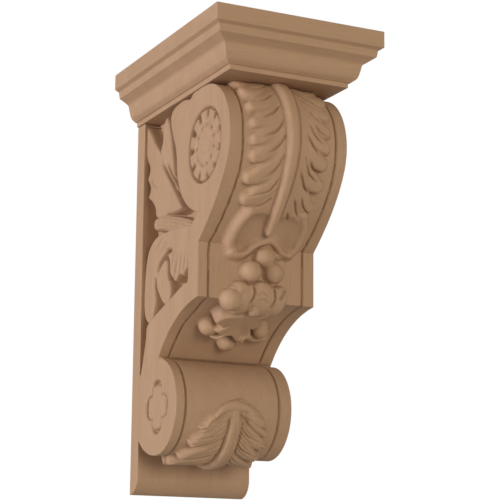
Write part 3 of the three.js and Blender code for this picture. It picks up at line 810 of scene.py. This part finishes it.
def side_piece(name, side):
    """One carved flank, cut to the body's outline, as a thick closed skin. Its inner rim is set in, to
    stay clear of the lines scribed in the front."""
    bm = bmesh.new()
    bmesh.ops.create_grid(bm, x_segments=int(flank_count[0]), y_segments=int(flank_count[1]), size=0.5)
    for vert, *spot in zip(bm.verts, flank.u, flank.v, flank.h):
        vert.co = Vector(spot)
    middles = np.array([face.calc_center_median()[:2] for face in bm.faces])
    outside = ~within(*middles.T, side_outline)
    spare = [face for face, away in zip(bm.faces, outside) if away]
    bmesh.ops.delete(bm, geom=spare, context="FACES")
    rim = [vert for vert in bm.verts if vert.is_boundary]
    snapped, inward = nearest_on(side_outline, np.array([vert.co[:2] for vert in rim]))
    for vert, spot in zip(rim, snapped):
        vert.co.xy = spot
    for vert in bm.verts:
        forward, up, rise = vert.co
        vert.co = Vector((side * (half_body - recess + rise) * MM, -forward * MM, up * MM + block_bottom))
    inner = {tuple(vert.co): spot for vert, spot in zip(rim, snapped + inward * rim_inset)}
    grown = bmesh.ops.extrude_edge_only(bm, edges=[edge for edge in bm.edges if edge.is_boundary])["geom"]
    for vert in grown:
        if isinstance(vert, bmesh.types.BMVert):
            forward, up = inner[tuple(vert.co)]
            vert.co = Vector((side * flank_inside * MM, -forward * MM, up * MM + block_bottom))
    bmesh.ops.triangle_fill(bm, edges=[edge for edge in bm.edges if edge.is_boundary],
                            use_beauty=False, normal=(1, 0, 0))
    bmesh.ops.recalc_face_normals(bm, faces=bm.faces)
    for face in bm.faces:
        face.smooth = True
    put_in(bm, name, body_wood, "scroll_body")


side_piece("left_flank", -1)
side_piece("right_flank", 1)

# Studio: a plain pale floor below the bracket, white surroundings that are dimmer as light than as a
# backdrop, and two broad soft lights, from the left and from the front. None of it is the bracket.
floor_drop = 0.32
floor_material = bpy.data.materials.new("studio_floor")
floor_material.use_nodes = True
floor_shader = floor_material.node_tree.nodes["Principled BSDF"]
floor_shader.inputs["Base Color"].default_value = (0.86, 0.86, 0.86, 1)
floor_shader.inputs["Roughness"].default_value = 0.9
bm = bmesh.new()
bmesh.ops.create_grid(bm, x_segments=1, y_segments=1, size=6)
bmesh.ops.translate(bm, vec=(0, 0, block_bottom - floor_drop), verts=bm.verts)
floor_mesh = bpy.data.meshes.new("studio_floor")
bm.to_mesh(floor_mesh)
bm.free()
floor = bpy.data.objects.new("studio_floor", floor_mesh)
floor.data.materials.append(floor_material)
bpy.context.scene.collection.objects.link(floor)

world = bpy.data.worlds.new("studio_white")
world.use_nodes = True
nodes, links = world.node_tree.nodes, world.node_tree.links
shown, fill = nodes["Background"], nodes.new("ShaderNodeBackground")
shown.inputs["Color"].default_value = (1, 1, 1, 1)
fill.inputs["Color"].default_value = (1.0, 0.91, 0.78, 1)
fill.inputs["Strength"].default_value = 0.3
seen, blend = nodes.new("ShaderNodeLightPath"), nodes.new("ShaderNodeMixShader")
links.new(seen.outputs["Is Camera Ray"], blend.inputs["Fac"])
links.new(fill.outputs["Background"], blend.inputs[1])
links.new(shown.outputs["Background"], blend.inputs[2])
links.new(blend.outputs["Shader"], nodes["World Output"].inputs["Surface"])
bpy.context.scene.world = world


def soft_light(name, place, aim, size, power, tint):
    lamp = bpy.data.lights.new(name, "AREA")
    lamp.color = tint
    lamp.shape = "SQUARE"
    lamp.size = size
    lamp.energy = power
    holder = bpy.data.objects.new(name, lamp)
    bpy.context.scene.collection.objects.link(holder)
    holder.matrix_world = Matrix.LocRotScale(
        Vector(place), (aim - Vector(place)).to_track_quat("-Z", "Y"), None)


middle = Vector((0, cad_box[0][1] / 2, 0))
soft_light("side_light", (-4.0, 0.05, 0.1), middle, 1.2, 100, (1.0, 0.99, 1.0))
soft_light("front_light", (0.1, -4.0, 0.0), middle, 1.6, 70, (1.0, 0.94, 0.8))

# Camera: a long lens, a little below the bracket and to its left.
camera_place = Vector((-0.57723, -1.27868, -0.26515))
camera_yaw, camera_pitch, camera_roll = (math.radians(angle) for angle in (26.384, 11.996, 0.489))
camera_data = bpy.data.cameras.new("camera")
camera_data.sensor_fit = "HORIZONTAL"
camera_data.sensor_width = 36.0
camera_data.lens = 120.36
camera = bpy.data.objects.new("camera", camera_data)
forward = Vector((math.sin(camera_yaw) * math.cos(camera_pitch),
                  math.cos(camera_yaw) * math.cos(camera_pitch), math.sin(camera_pitch)))
level = Vector((math.cos(camera_yaw), -math.sin(camera_yaw), 0))
upright = level.cross(forward)
right = math.cos(camera_roll) * level + math.sin(camera_roll) * upright
up = math.cos(camera_roll) * upright - math.sin(camera_roll) * level
turn = Matrix((right, up, -forward)).transposed().to_4x4()
camera.matrix_world = Matrix.Translation(camera_place) @ turn
bpy.context.scene.collection.objects.link(camera)
bpy.context.scene.camera = camera
bpy.context.scene.view_settings.view_transform = "Standard"
